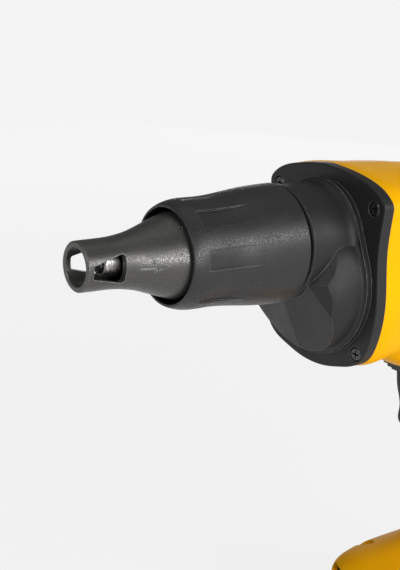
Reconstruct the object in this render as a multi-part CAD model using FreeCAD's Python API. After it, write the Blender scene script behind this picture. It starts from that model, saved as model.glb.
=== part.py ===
import FreeCAD, Part
import math
import os

os.makedirs("parts", exist_ok=True)

# Cordless drywall screwdriver, millimetres. +X is the driving direction, +Y the left side, +Z up.
# The origin is the middle of the battery's flat underside.
# A station d is a distance behind the nose tip. A level z is a height above the spindle axis.

# Overall sizes and fits
SPINDLE_HEIGHT = 232.0
WALL = 2.8
RUN = 0.1
SLIDE = 0.3

# Nose
TIP_RADIUS = 9.6
MOUTH_RADIUS = 7.4
NOSE_LENGTH = 41.0
SKIRT_RADIUS = 17.0
SKIRT_LENGTH = 13.2
SPIGOT_RADIUS = 14.8
SPIGOT_LENGTH = 8.2
WINDOW_FRONT = 2.3
WINDOW_REAR = 15.9
ARROW_TAIL = 20.6
ARROW_NECK = 27.0
ARROW_TIP = 32.0

# Depth collar
COLLAR_FRONT = 39.3
COLLAR_REAR = 92.4
COLLAR_RADIUS = 24.6
COLLAR_BORE = 18.9
COLLAR_GAP = 2.0
JOURNAL_RADIUS = 20.8
SCOOP_COUNT = 8
SCOOP_FIRST = 6.5
SCOOP_WIDTH = 8.0
SCOOP_DEPTH = 1.1
THREAD_RADIUS = 15.0
HUB_FRONT = 61.0
HUB_REAR = 76.0
HUB_WALL = 2.2
WEB_THICK = 4.0
RING_WIDTH = 1.4

# Gear case
BOSS_RADIUS = 23.6
FLANGE_FRONT = 119.0
FLANGE_THICK = 5.0
PLATEAU_HEIGHT = 2.6
PLATEAU_RIM = 2.0
CHIN_RADIUS = 30.6
CHIN_LEVEL = -17.4
# Start, slope across and slope down of the planes that shape the chin: facet, chamfer and front
CHIN_PLANES = [(93.1, 0.544, 0.58), (82.2, 0.588, -0.191), (87.7, 0.09, -0.5)]
TUBE_RADIUS = 12.0
TUBE_FRONT = 56.0
BUSH_RADIUS = 8.0
GEAR_ROOM = 15.6
PINION_ROOM = 6.4
KEY_HALF = 1.5
CASE_SCREW_RADIUS = 2.0
CASE_SCREW_HEAD = 2.9
CASE_SCREW_GRIP = 15.0
CASE_SCREWS = [(29.6, 17.8), (-29.6, 17.8), (26.4, -44.2), (-26.4, -44.2)]

# Half of the flange outline, from the top to the bottom
FLANGE_HALF = [
    (0.0, 30.8), (12.0, 29.7), (21.0, 28.0), (27.4, 26.0), (31.4, 23.9), (34.0, 21.8), (35.6, 19.6),
    (35.7, 16.5), (35.0, 10.0), (34.5, 3.0), (34.7, -4.0), (35.6, -13.0), (36.2, -22.5), (35.2, -32.0),
    (32.9, -40.4), (30.6, -45.0), (26.6, -48.9), (17.3, -52.6), (8.4, -54.8), (0.0, -55.5),
]
OUTLINE_MIDDLE = -12.0

# Drive train
MODULE = 0.75
PINION_TEETH = 10
GEAR_TEETH = 36
PRESSURE = math.radians(25)
ADDENDUM = 0.7 * MODULE
DEDENDUM = 1.05 * MODULE
BACKLASH = 0.3
MOTOR_Z = -MODULE * (PINION_TEETH + GEAR_TEETH) / 2
SPINDLE_RADIUS = 6.0
PILOT_RADIUS = 3.0
WASHER_THICK = 1.5
JAW_HEIGHT = 2.2
JAW_GAP = 0.8
JAW_INNER = 9.6
JAW_OUTER = 12.4
GEAR_WIDTH = 8.0
GEAR_BORE = 5.0
GEAR_BEARING = 9.5
SPRING_SEAT = 4.8
WIRE_SIDES = 12
HEX_FLATS = 6.35
HEX_FIT = 0.1
BIT_TIP = 6.5
BIT_SOCKET = 16.0
MAGNET_LENGTH = 3.0
HOLDER_FRONT = 10.0
HOLDER_RADIUS = 4.9
HEAD_FRONT = 38.0
HEAD_RADIUS = 7.6
HEAD_REAR = 54.0

# Motor
SHAFT_RADIUS = 2.5
MOTOR_BEARING = 6.5
MOTOR_BEARING_WIDTH = 4.0
STATOR_FRONT = 152.0
STATOR_LENGTH = 34.0
STATOR_RADIUS = 25.5
ROTOR_RADIUS = 12.6
MAGNET_THICK = 2.0
AIR_GAP = 0.6
SLOT_COUNT = 6
TOOTH_HALF = 2.5
YOKE = 4.0
INSULATOR_LENGTH = 9.0
FAN_RADIUS = 23.5
FAN_BLADES = 9

# Housing and controls
HOUSING_REAR = 246.0
HANDLE_HALF = 17.0
GRIP_SKIN = 1.3
TRIGGER_TRAVEL = 6.5
TRIGGER_HALF = 9.0
TRIGGER_FRONT = 180.7
TRIGGER_LENGTH = 15.8
TRIGGER_TOP = -72.8
TRIGGER_BOTTOM = -100.4
STEM_RADIUS = 3.0
STEM_Z = -86.0
SWITCH_FRONT = 209.5
SWITCH_REAR = 230.5
SWITCH_TOP = -74.0
SWITCH_BOTTOM = -100.0
SWITCH_HALF = 9.0
LEVER_FRONT = 170.0
LEVER_HALF = 7.0
LEVER_TOP = -63.7
LEVER_BOTTOM = -72.0
LEVER_ROOM = 12.5
PIVOT_RADIUS = 2.0
LOCK_Z = -84.0
LOCK_RADIUS = 4.0
MODULE_FRONT = 158.0
MODULE_LENGTH = 46.0
MODULE_HALF = 14.5
MODULE_BOTTOM = 11.0
LEAD_RADIUS = 1.1

# Battery pack and foot
PACK_FRONT = 154.0
PACK_REAR = 272.0
PACK_HALF = 37.0
PACK_TOP = -190.4
PACK_SPLIT = -209.0
PACK_WALL = 2.4
PACK_FLOOR = 2.6
PACK_CORNER = 12.0
FOOT_FRONT = 168.0
FOOT_REAR = 268.0
FOOT_HALF = 35.0
RAIL_HALF = 28.5
NECK_HALF = 22.5
CELL_RADIUS = 9.1
CELL_HALF = 32.5
CELL_PITCH = 19.4
LINK_THICK = 0.4
BOARD_THICK = 1.6
BLADE_ROWS = (-12.0, 0.0, 12.0)
LATCH_TRAVEL = 4.0
HOOK_THREAD = 2.0
HOOK_PAD = 6.0
HOOK_THICK = 2.0
HOOK_REACH = 14.0

# Stations and levels that follow from the sizes above
NOSE_REACH = (PACK_FRONT + PACK_REAR) / 2
BASE = -SPINDLE_HEIGHT
SKIRT_REAR = NOSE_LENGTH + SKIRT_LENGTH
SPIGOT_FRONT = SKIRT_REAR - SPIGOT_LENGTH
NOSE_GROOVE = SPIGOT_FRONT + 2.8
RING_FRONT = COLLAR_REAR - 9.0
JOURNAL_FRONT = RING_FRONT - 2.4
FLANGE_REAR = FLANGE_FRONT + FLANGE_THICK
PLATEAU_FRONT = FLANGE_FRONT - PLATEAU_HEIGHT
SCREW_SEAT = FLANGE_FRONT + 2.0
BOSS_FRONT = COLLAR_REAR + COLLAR_GAP
WALL_REAR = BOSS_FRONT + 3.0
SPINDLE_FLANGE = WALL_REAR + WASHER_THICK
SPINDLE_JAWS = SPINDLE_FLANGE + 3.5
GEAR_JAWS = SPINDLE_JAWS + JAW_HEIGHT + JAW_GAP
GEAR_FRONT = GEAR_JAWS + JAW_HEIGHT
GEAR_REAR = GEAR_FRONT + GEAR_WIDTH
MAGNET_FRONT = HOLDER_FRONT + BIT_SOCKET
PLATE_FRONT = FLANGE_REAR
PLATE_REAR = PLATE_FRONT + 6.5
STATOR_REAR = STATOR_FRONT + STATOR_LENGTH
SENSOR_REAR = STATOR_FRONT - INSULATOR_LENGTH
FAN_FRONT = STATOR_REAR + 11.0
FAN_REAR = FAN_FRONT + 11.0
REAR_BEARING = FAN_REAR + 5.0
TRIGGER_BACK = TRIGGER_FRONT + TRIGGER_LENGTH
PIVOT = SWITCH_FRONT + 5.0
LOCK_D = TRIGGER_BACK + 6.0
MODULE_REAR = MODULE_FRONT + MODULE_LENGTH
FOOT_BOTTOM = PACK_TOP + 0.4
HANDLE_BOTTOM = FOOT_BOTTOM + 20.0
RAIL_LEDGE = PACK_TOP + 4.7
RAIL_TOP = PACK_TOP + 9.8
CHANNEL_TOP = RAIL_TOP + SLIDE
CHANNEL_REAR = FOOT_REAR - 8.0
BLOCK_FRONT = CHANNEL_REAR - 10.0
RAIL_FRONT = PACK_FRONT + 20.0
RAIL_REAR = BLOCK_FRONT - 2.0
HOOK_D = FOOT_REAR - 22.0
HOOK_Z = FOOT_BOTTOM + 12.5
HOOK_HOLE = FOOT_HALF - 6.0
HOOK_SEAT = FOOT_HALF + 0.6
CELL_MIDDLE = NOSE_REACH
CELL_Z = BASE + PACK_FLOOR + CELL_RADIUS + 0.4
HOLDER_TOP = PACK_SPLIT + 1.0
LATCH_D = PACK_FRONT + 5.5
LATCH_REST = PACK_TOP - 12.6
LATCH_LEDGE = LATCH_REST - 10.0
LATCH_PAD_REAR = PACK_FRONT + 6.2
LATCH_ARM_REAR = PACK_FRONT + 25.8
PACK_SCREW_RADIUS = 1.5
PACK_SCREW_HEAD = 2.8
PACK_SCREW_IN = 6.5
PACK_SCREWS = [(d, y) for d in (PACK_FRONT + PACK_SCREW_IN, PACK_REAR - PACK_SCREW_IN) for y in (30.0, -30.0)]

# Clamshell screws: station, level and seat of the head on the right side
SHELL_SCREWS = [
    (146.0, 23.0, 14.0), (226.0, 20.0, 14.0), (231.0, -41.0, 14.0), (143.0, -48.0, 12.0),
    (231.0, -112.0, 10.0), (238.0, -152.0, 10.0), (FOOT_FRONT + 24.0, FOOT_BOTTOM + 14.5, 14.0),
]
SHELL_SCREW_RADIUS = 1.9
SHELL_SCREW_HEAD = 3.3
SHELL_SCREW_REACH = 11.0


# Small tools that place simple bodies by station and level

def point(d, y, z):
    return FreeCAD.Vector(NOSE_REACH - d, y, SPINDLE_HEIGHT + z)


FORWARD = FreeCAD.Vector(1, 0, 0)
BACKWARD = FreeCAD.Vector(-1, 0, 0)
LEFT = FreeCAD.Vector(0, 1, 0)
UP = FreeCAD.Vector(0, 0, 1)


def rod(d0, d1, radius, z=0.0, y=0.0):
    return Part.makeCylinder(radius, d1 - d0, point(d1, y, z), FORWARD)


def tube(d0, d1, outer, inner, z=0.0, y=0.0):
    return rod(d0, d1, outer, z, y).cut(rod(d0, d1, inner, z, y))


def block(d0, d1, y0, y1, z0, z1):
    return Part.makeBox(d1 - d0, y1 - y0, z1 - z0, point(d1, y0, z0))


def cross_rod(d, z, y0, y1, radius):
    return Part.makeCylinder(radius, y1 - y0, point(d, y0, z), LEFT)


def post(d, y, z0, z1, radius):
    return Part.makeCylinder(radius, z1 - z0, point(d, y, z0), UP)


def joined(shapes):
    return shapes[0].multiFuse(shapes[1:]).removeSplitter()


def group(shapes):
    return Part.makeCompound(shapes)


def solid_of(shape):
    return max(shape.Solids, key=lambda solid: solid.Volume)


def turned(outline, z=0.0):
    corners = [point(d, 0, z + radius) for d, radius in outline]
    face = Part.Face(Part.makePolygon(corners + corners[:1]))
    return face.revolve(point(0, 0, z), FORWARD, 360)


def turned_smooth(curve, lines, z=0.0):
    spline = Part.BSplineCurve()
    spline.interpolate([point(d, 0, z + radius) for d, radius in curve])
    corners = [curve[-1]] + lines + [curve[0]]
    straight = Part.makePolygon([point(d, 0, z + radius) for d, radius in corners])
    face = Part.Face(Part.Wire([spline.toShape()] + straight.Edges))
    return face.revolve(point(0, 0, z), FORWARD, 360)


def side_profile(corners, y0, y1):
    points = [point(d, y0, z) for d, z in corners]
    face = Part.Face(Part.makePolygon(points + points[:1]))
    return face.extrude(FreeCAD.Vector(0, y1 - y0, 0))


def front_profile(corners, d0, d1):
    points = [point(d1, y, z) for y, z in corners]
    face = Part.Face(Part.makePolygon(points + points[:1]))
    return face.extrude(FORWARD * (d1 - d0))


def smooth_loop(points, marks):
    curve = Part.BSplineCurve()
    curve.interpolate(Points=points, PeriodicFlag=True, Parameters=marks)
    return Part.Wire([curve.toShape()])


def rounded_slab(d0, d1, half, z0, z1, corner):
    pieces = [block(d0 + corner, d1 - corner, -half, half, z0, z1)]
    pieces.append(block(d0, d1, corner - half, half - corner, z0, z1))
    for d in (d0 + corner, d1 - corner):
        for y in (corner - half, half - corner):
            pieces.append(post(d, y, z0, z1, corner))
    return joined(pieces)


def hexagon(d0, d1, flats, z=0.0):
    corner = flats / math.sqrt(3)
    ring = []
    for k in range(6):
        angle = math.radians(60 * k)
        ring.append((corner * math.cos(angle), z + corner * math.sin(angle)))
    return front_profile(ring, d0, d1)


def front_edges(shape, d):
    return [edge for edge in shape.Edges if abs(edge.BoundBox.XMin - point(d, 0, 0).x) < 0.01]


def turn_about_spindle(shape, angle):
    turned_shape = shape.copy()
    turned_shape.rotate(point(0, 0, 0), FORWARD, angle)
    return turned_shape


def turn_about_motor(shape, angle):
    turned_shape = shape.copy()
    turned_shape.rotate(point(0, 0, MOTOR_Z), FORWARD, angle)
    return turned_shape


def mirrored(shape):
    return shape.mirror(FreeCAD.Vector(0, 0, 0), LEFT)


def coil_along(radius, wire, length, turns, start, direction):
    rise = length - wire
    path = Part.makeLongHelix(rise / turns, rise, radius)
    corners = []
    for k in range(WIRE_SIDES + 1):
        angle = 2 * math.pi * k / WIRE_SIDES
        corners.append(FreeCAD.Vector(radius + wire / 2 * math.cos(angle), 0, wire / 2 * math.sin(angle)))
    section = Part.makePolygon(corners)
    spring = Part.Wire(path.Edges).makePipeShell([section], True, True)
    spring.translate(FreeCAD.Vector(0, 0, wire / 2))
    spring.Placement = FreeCAD.Placement(start, FreeCAD.Rotation(UP, direction)).multiply(spring.Placement)
    return spring


def lead(points, radius):
    curve = Part.BSplineCurve()
    curve.interpolate(points)
    path = Part.Wire([curve.toShape()])
    heading = curve.tangent(curve.FirstParameter)[0]
    start = Part.Wire([Part.makeCircle(radius, points[0], heading)])
    return path.makePipeShell([start], True, False)


# Nose cone: a turned cone with two windows, a raised arrow outline on each side and one moulding mark

NOSE_CURVE = [
    (0.4, TIP_RADIUS), (8.0, TIP_RADIUS + 0.1), (14.0, TIP_RADIUS + 0.25), (19.0, 10.4),
    (24.0, 11.4), (29.0, 12.95), (35.0, 15.0), (NOSE_LENGTH, SKIRT_RADIUS),
]
ARROW_STEM = 0.85
ARROW_BARB = 2.0
ARROW_LINE = 0.3
ARROW_RELIEF = 0.4


def arrow_outline(grow):
    tail, neck, tip = ARROW_TAIL - grow, ARROW_NECK - grow, ARROW_TIP + 1.8 * grow
    stem, barb = ARROW_STEM + grow, ARROW_BARB + 1.6 * grow
    return [(tail, stem), (neck, stem), (neck, barb), (tip, 0.0), (neck, -barb), (neck, -stem), (tail, -stem)]


def raised_arrow():
    core = TIP_RADIUS - 0.6
    raised = turned_smooth([(d, r + ARROW_RELIEF) for d, r in NOSE_CURVE], [(NOSE_LENGTH, core), (0.4, core)])
    line = side_profile(arrow_outline(ARROW_LINE), core, SKIRT_RADIUS)
    line = line.cut(side_profile(arrow_outline(-ARROW_LINE), core - 1.0, SKIRT_RADIUS + 1.0))
    return solid_of(line.common(raised))


def window_outline():
    front, rear = WINDOW_FRONT, WINDOW_REAR
    return [(front, 1.7), (front + 0.5, 2.2), (rear - 0.9, 5.4), (rear, 4.8), (rear, -5.2), (rear - 0.9, -5.9),
            (front + 0.5, -3.0), (front, -2.6)]


def moulding_mark():
    d, turn, depth = 39.2, 52.4, 0.8
    pin = post(d, 0.0, SKIRT_RADIUS - 0.6 - depth, SKIRT_RADIUS + 3.0, 0.6)
    return turn_about_spindle(pin, turn - 90)


def nose_cone():
    socket = SPIGOT_RADIUS + RUN
    inside = [(SKIRT_REAR, SKIRT_RADIUS), (SKIRT_REAR, socket), (SPIGOT_FRONT - 0.4, socket),
              (SPIGOT_FRONT - 0.4, socket - 1.6), (WINDOW_REAR + 2.0, MOUTH_RADIUS), (0.3, MOUTH_RADIUS),
              (0.0, MOUTH_RADIUS + 0.3), (0.0, TIP_RADIUS - 0.4)]
    cone = turned_smooth(NOSE_CURVE, inside)
    arrow = raised_arrow()
    cone = joined([cone, arrow, mirrored(arrow)])
    cone = cone.cut(side_profile(window_outline(), -2 * TIP_RADIUS, 2 * TIP_RADIUS))
    return solid_of(cone.cut(moulding_mark()))


# Depth collar: a gripped ring that turns on the gear case and moves the adjuster by its thread

COLLAR_CURVE = [
    (COLLAR_FRONT + 0.2, 19.9), (COLLAR_FRONT + 1.8, 20.6), (COLLAR_FRONT + 15.7, 21.75),
    (COLLAR_FRONT + 28.7, 22.75), (COLLAR_REAR - 14.4, 23.9), (COLLAR_REAR - 6.4, 24.4),
    (COLLAR_REAR - 0.6, COLLAR_RADIUS),
]
# Floor of the finger scoops: share of their length, and radius of the collar there
SCOOP_FRONT = COLLAR_FRONT + 6.0
SCOOP_REAR = COLLAR_FRONT + 32.0
SCOOP_FLOOR = [(0.0, 21.05), (0.3, 21.6), (0.6, 22.25), (0.85, 22.8), (1.0, 23.1)]


def scoop():
    length = SCOOP_REAR - SCOOP_FRONT
    clear = COLLAR_RADIUS + 5.0
    floor = []
    for share, radius in SCOOP_FLOOR:
        floor.append((SCOOP_FRONT + share * length, radius - SCOOP_DEPTH * math.sin(math.pi * share) ** 2))
    ring = turned_smooth(floor, [(SCOOP_REAR, clear), (SCOOP_FRONT, clear)])
    half = SCOOP_WIDTH / 2
    return ring.common(block(SCOOP_FRONT - 1.0, SCOOP_REAR + 1.0, -half, half, COLLAR_BORE, clear + 1.0))


def depth_collar():
    journal, thread = JOURNAL_RADIUS + RUN, THREAD_RADIUS + RUN
    room_front = COLLAR_REAR - 7.2
    lines = [(COLLAR_REAR, COLLAR_RADIUS - 0.4), (COLLAR_REAR, journal), (room_front, journal),
             (room_front, journal + 1.0), (HUB_REAR, journal + 1.0), (HUB_REAR, thread), (HUB_FRONT, thread),
             (HUB_FRONT, thread + HUB_WALL), (HUB_REAR - WEB_THICK, thread + HUB_WALL),
             (HUB_REAR - WEB_THICK, COLLAR_BORE), (COLLAR_FRONT, COLLAR_BORE), (COLLAR_FRONT, 19.7)]
    ring = turned_smooth(COLLAR_CURVE, lines)
    cutter = scoop()
    for k in range(SCOOP_COUNT):
        ring = ring.cut(turn_about_spindle(cutter, SCOOP_FIRST - 90 + 360 * k / SCOOP_COUNT))
    return solid_of(ring)


def adjuster_sleeve():
    bore = TUBE_RADIUS + RUN
    rear = HUB_REAR + 1.0
    groove = SPIGOT_RADIUS - 1.0
    groove_rear = NOSE_GROOVE + 1.8
    stop = SKIRT_RADIUS - 0.6
    outline = [(SPIGOT_FRONT, bore), (SPIGOT_FRONT, SPIGOT_RADIUS - 0.4), (SPIGOT_FRONT + 0.4, SPIGOT_RADIUS),
               (NOSE_GROOVE, SPIGOT_RADIUS), (NOSE_GROOVE, groove), (groove_rear, groove),
               (groove_rear, SPIGOT_RADIUS), (SKIRT_REAR, SPIGOT_RADIUS), (SKIRT_REAR, stop),
               (SKIRT_REAR + 2.6, stop), (SKIRT_REAR + 2.6, THREAD_RADIUS), (rear, THREAD_RADIUS), (rear, bore)]
    half = KEY_HALF + SLIDE
    keyway = block(SPIGOT_FRONT - 1.0, rear + 1.0, -half, half, BUSH_RADIUS, TUBE_RADIUS + 1.6)
    return turned(outline).cut(keyway)


def nose_ring():
    return tube(NOSE_GROOVE + 0.1, NOSE_GROOVE + 1.7, SPIGOT_RADIUS + 0.02, SPIGOT_RADIUS - 1.0)


def collar_ring():
    ring = tube(RING_FRONT, RING_FRONT + RING_WIDTH, JOURNAL_RADIUS + 0.8, JOURNAL_RADIUS - 0.8)
    return ring.cut(block(RING_FRONT - 1.0, RING_FRONT + 3.0, -2.5, 2.5, -25.0, -15.0))


# Gear case: flange, boss with a coved root, the chin below it and a raised plateau around both

def flange_points(offset):
    left = [(-y, z) for y, z in reversed(FLANGE_HALF[1:-1])]
    ring = FLANGE_HALF + left
    moved = []
    for k in range(len(ring)):
        y, z = ring[k]
        before, after = ring[k - 1], ring[(k + 1) % len(ring)]
        ty, tz = after[0] - before[0], after[1] - before[1]
        size = math.hypot(ty, tz)
        moved.append((y - offset * tz / size, z + offset * ty / size))
    return moved


def flange_marks():
    # Distances along the flange outline, shared by every section of the barrel so that they line up
    ring = flange_points(0.0)
    marks = [0.0]
    for k in range(len(ring)):
        ahead = ring[(k + 1) % len(ring)]
        marks.append(marks[-1] + math.hypot(ahead[0] - ring[k][0], ahead[1] - ring[k][1]))
    return marks


def slope_cutter(start, across, down, side):
    # Everything ahead of the plane d = start + across * y + down * z, on one side of the middle plane
    corners = []
    for y, z in ((0, 40), (60, 40), (60, -80), (0, -80)):
        corners.append(point(start + across * y + down * z, side * y, z))
    face = Part.Face(Part.makePolygon(corners + corners[:1]))
    return face.extrude(FORWARD * 90)


def coved(front, radius, z, length):
    # A round body whose root widens in a quarter ellipse up to the plateau's rim
    outline = [(front, 0.0), (front, radius - 0.6), (front + 0.6, radius)]
    for k in range(7):
        angle = math.radians(15 * k)
        outline.append((PLATEAU_FRONT - length + length * math.sin(angle),
                        radius + PLATEAU_RIM * (1 - math.cos(angle))))
    outline += [(FLANGE_FRONT + 1.0, radius + PLATEAU_RIM), (FLANGE_FRONT + 1.0, 0.0)]
    return turned(outline, z)


def chin():
    # A blunt dome, cut by three planes on each side
    front = BOSS_FRONT + 0.5
    dome = [(front, CHIN_RADIUS - 6.2), (front + 5.0, CHIN_RADIUS - 3.8), (front + 9.0, CHIN_RADIUS - 1.7),
            (front + 13.5, CHIN_RADIUS - 0.4), (FLANGE_FRONT, CHIN_RADIUS)]
    body = turned_smooth(dome, [(FLANGE_FRONT, 0.0), (front, 0.0)], CHIN_LEVEL)
    for side in (1, -1):
        for start, across, down in CHIN_PLANES:
            body = body.cut(slope_cutter(start, across, down, side))
    root = coved(PLATEAU_FRONT - 2.5, CHIN_RADIUS, CHIN_LEVEL, 2.0)
    return body.fuse(root.cut(rod(PLATEAU_FRONT - 5.0, FLANGE_FRONT + 2.0, CHIN_RADIUS - 3.0, CHIN_LEVEL)))


def plateau():
    upper, lower = BOSS_RADIUS + PLATEAU_RIM, CHIN_RADIUS + PLATEAU_RIM
    lean = math.asin((lower - upper) / -CHIN_LEVEL)
    y0, z0 = upper * math.cos(lean), upper * math.sin(lean)
    y1, z1 = lower * math.cos(lean), CHIN_LEVEL + lower * math.sin(lean)
    web = front_profile([(y0, z0), (y1, z1), (-y1, z1), (-y0, z0)], PLATEAU_FRONT, FLANGE_FRONT + 1.0)
    return joined([rod(PLATEAU_FRONT, FLANGE_FRONT + 1.0, upper),
                   rod(PLATEAU_FRONT, FLANGE_FRONT + 1.0, lower, CHIN_LEVEL), web])


def gear_case():
    flange_loop = smooth_loop([point(FLANGE_REAR, y, z) for y, z in flange_points(0.0)], flange_marks())
    flange = Part.Face(flange_loop).extrude(FORWARD * FLANGE_THICK)
    flange = flange.makeFillet(0.5, front_edges(flange, FLANGE_FRONT))
    inside = BOSS_FRONT + 1.0
    spigot = tube(JOURNAL_FRONT, inside, JOURNAL_RADIUS, JOURNAL_RADIUS - 3.8)
    spigot = spigot.cut(tube(RING_FRONT - 0.1, RING_FRONT + RING_WIDTH + 0.1, 30.0, JOURNAL_RADIUS - 0.8))
    web = tube(COLLAR_REAR - 4.4, inside, JOURNAL_RADIUS - 2.8, BUSH_RADIUS + 2.0)
    nose_tube = tube(TUBE_FRONT, inside, TUBE_RADIUS, BUSH_RADIUS)
    key = block(TUBE_FRONT + 4.0, COLLAR_REAR - 3.4, -KEY_HALF, KEY_HALF, BUSH_RADIUS + 1.0, TUBE_RADIUS + 1.3)
    boss = coved(BOSS_FRONT, BOSS_RADIUS, 0.0, 4.0)
    case = joined([flange, plateau(), boss, chin(), spigot, web, nose_tube, key])
    pocket = GEAR_FRONT - 4.0
    behind = FLANGE_REAR + 1.0
    case = case.cut(rod(TUBE_FRONT - 1.0, WALL_REAR + 1.0, BUSH_RADIUS))
    case = case.cut(rod(WALL_REAR, behind, GEAR_ROOM))
    case = case.cut(rod(pocket, behind, PINION_ROOM, MOTOR_Z))
    case = case.cut(block(pocket, behind, -PINION_ROOM, PINION_ROOM, MOTOR_Z, 0.0))
    for y, z in CASE_SCREWS:
        case = case.cut(rod(PLATEAU_FRONT - 1.0, SCREW_SEAT, CASE_SCREW_HEAD + 0.25, z, y))
        case = case.cut(rod(FLANGE_FRONT, behind, CASE_SCREW_RADIUS, z, y))
    return solid_of(case)


def cross_recess(d, y, z, reach, depth):
    half = 0.35
    return joined([block(d - 1.0, d + depth, y - reach, y + reach, z - half, z + half),
                   block(d - 1.0, d + depth, y - half, y + half, z - reach, z + reach)])


def case_screw(y, z):
    top = SCREW_SEAT - 1.9
    head = rod(top, SCREW_SEAT, CASE_SCREW_HEAD, z, y)
    head = head.makeFillet(0.7, front_edges(head, top))
    screw = joined([head, rod(SCREW_SEAT, FLANGE_REAR + CASE_SCREW_GRIP, CASE_SCREW_RADIUS, z, y)])
    return screw.cut(cross_recess(top, y, z, 1.8, 1.3))


def case_screws():
    return group([case_screw(y, z) for y, z in CASE_SCREWS])


# Spindle, bit and clutch

def screw_bit():
    shoulder = HOLDER_FRONT - 0.6
    shank = hexagon(shoulder, MAGNET_FRONT, HEX_FLATS)
    neck = turned([(shoulder, 0.0), (shoulder, 3.1), (shoulder - 0.4, 3.1), (BIT_TIP + 0.5, 1.5),
                   (BIT_TIP, 1.1), (BIT_TIP, 0.0)])
    bit = joined([shank, neck])
    ahead, root = BIT_TIP - 1.0, BIT_TIP + 2.3
    flute = side_profile([(ahead, 0.75), (root, 1.7), (root, 4.0), (ahead, 4.0)], -0.8, 0.8)
    for k in range(4):
        bit = bit.cut(turn_about_spindle(flute, 45 + 90 * k))
    return solid_of(bit)


def bit_holder():
    body = rod(HOLDER_FRONT, HEAD_FRONT, HOLDER_RADIUS)
    body = body.makeFillet(0.8, front_edges(body, HOLDER_FRONT))
    body = joined([body, hexagon(HEAD_FRONT, HEAD_FRONT + 19.0, HEX_FLATS)])
    body = body.cut(hexagon(HOLDER_FRONT - 1.0, MAGNET_FRONT, HEX_FLATS + HEX_FIT))
    body = body.cut(rod(MAGNET_FRONT, MAGNET_FRONT + MAGNET_LENGTH, 3.0))
    groove = HOLDER_FRONT + 1.8
    return body.cut(tube(groove, groove + 0.8, HOLDER_RADIUS + 1.0, HOLDER_RADIUS - 0.3))


def bit_magnet():
    return rod(MAGNET_FRONT, MAGNET_FRONT + MAGNET_LENGTH, 3.0)


def jaw(d0, d1, angle):
    sweep = 40
    ring = tube(d0, d1, JAW_OUTER, JAW_INNER)
    wedge = Part.makeCylinder(30.0, d1 - d0 + 2.0, point(d1 + 1.0, 0, 0), FORWARD, sweep)
    return ring.common(turn_about_spindle(wedge, angle - sweep / 2))


def spindle():
    tail = GEAR_REAR + 4.0
    outline = [(HEAD_FRONT, 0.0), (HEAD_FRONT, HEAD_RADIUS - 0.8), (HEAD_FRONT + 0.8, HEAD_RADIUS),
               (HEAD_REAR, HEAD_RADIUS), (HEAD_REAR, SPINDLE_RADIUS), (SPINDLE_FLANGE, SPINDLE_RADIUS),
               (SPINDLE_FLANGE, JAW_OUTER), (SPINDLE_JAWS, JAW_OUTER), (SPINDLE_JAWS, PILOT_RADIUS),
               (tail, PILOT_RADIUS), (tail, 0.0)]
    shape = turned(outline).cut(hexagon(HEAD_FRONT - 1.0, HEAD_FRONT + 20.0, HEX_FLATS + HEX_FIT))
    jaws = [jaw(SPINDLE_JAWS - 0.5, SPINDLE_JAWS + JAW_HEIGHT, 120 * k) for k in range(3)]
    return joined([shape] + jaws)


def thrust_washer():
    return tube(WALL_REAR, SPINDLE_FLANGE, 10.5, SPINDLE_RADIUS + RUN)


def spindle_bush():
    return tube(TUBE_FRONT + 5.0, WALL_REAR - 2.0, BUSH_RADIUS, SPINDLE_RADIUS + 0.05)


def spindle_seal():
    return tube(TUBE_FRONT + 1.4, TUBE_FRONT + 5.0, BUSH_RADIUS, SPINDLE_RADIUS + 0.08)


def clutch_spring():
    length = GEAR_FRONT + SPRING_SEAT - SPINDLE_JAWS
    return coil_along(6.4, 0.9, length, 4.0, point(SPINDLE_JAWS, 0, 0), BACKWARD)


# Gears with involute flanks

def involute(angle):
    return math.tan(angle) - angle


def gear_blank(teeth, d0, d1, z, first):
    pitch = MODULE * teeth / 2
    base = pitch * math.cos(PRESSURE)
    root, tip = pitch - DEDENDUM, pitch + ADDENDUM
    half = math.pi / (2 * teeth) - BACKLASH / (4 * pitch)
    low = max(base, root)
    undercut = root < low - 1e-6

    def at(radius, angle):
        return point(d1, radius * math.cos(angle), z + radius * math.sin(angle))

    def flank(radius):
        return half + involute(PRESSURE) - involute(math.acos(min(1.0, base / radius)))

    edges = []
    radii = [low + (tip - low) * k / 4 for k in range(5)]
    for tooth in range(teeth):
        middle = first + 2 * math.pi * tooth / teeth
        rise = [at(r, middle - flank(r)) for r in radii]
        fall = [at(r, middle + flank(r)) for r in reversed(radii)]
        heel = fall[-1]
        if undercut:
            heel = at(root, middle + flank(low))
            edges.append(Part.makeLine(at(root, middle - flank(low)), rise[0]))
            edges.append(Part.makeLine(fall[-1], heel))
        for curve_points in (rise, fall):
            curve = Part.BSplineCurve()
            curve.interpolate(curve_points)
            edges.append(curve.toShape())
        edges.append(Part.makeLine(rise[-1], fall[0]))
        edges.append(Part.makeLine(heel, at(root, middle + 2 * math.pi / teeth - flank(low))))
    loop = Part.Wire(Part.__sortEdges__(edges))
    return Part.Face(loop).extrude(FORWARD * (d1 - d0))


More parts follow.
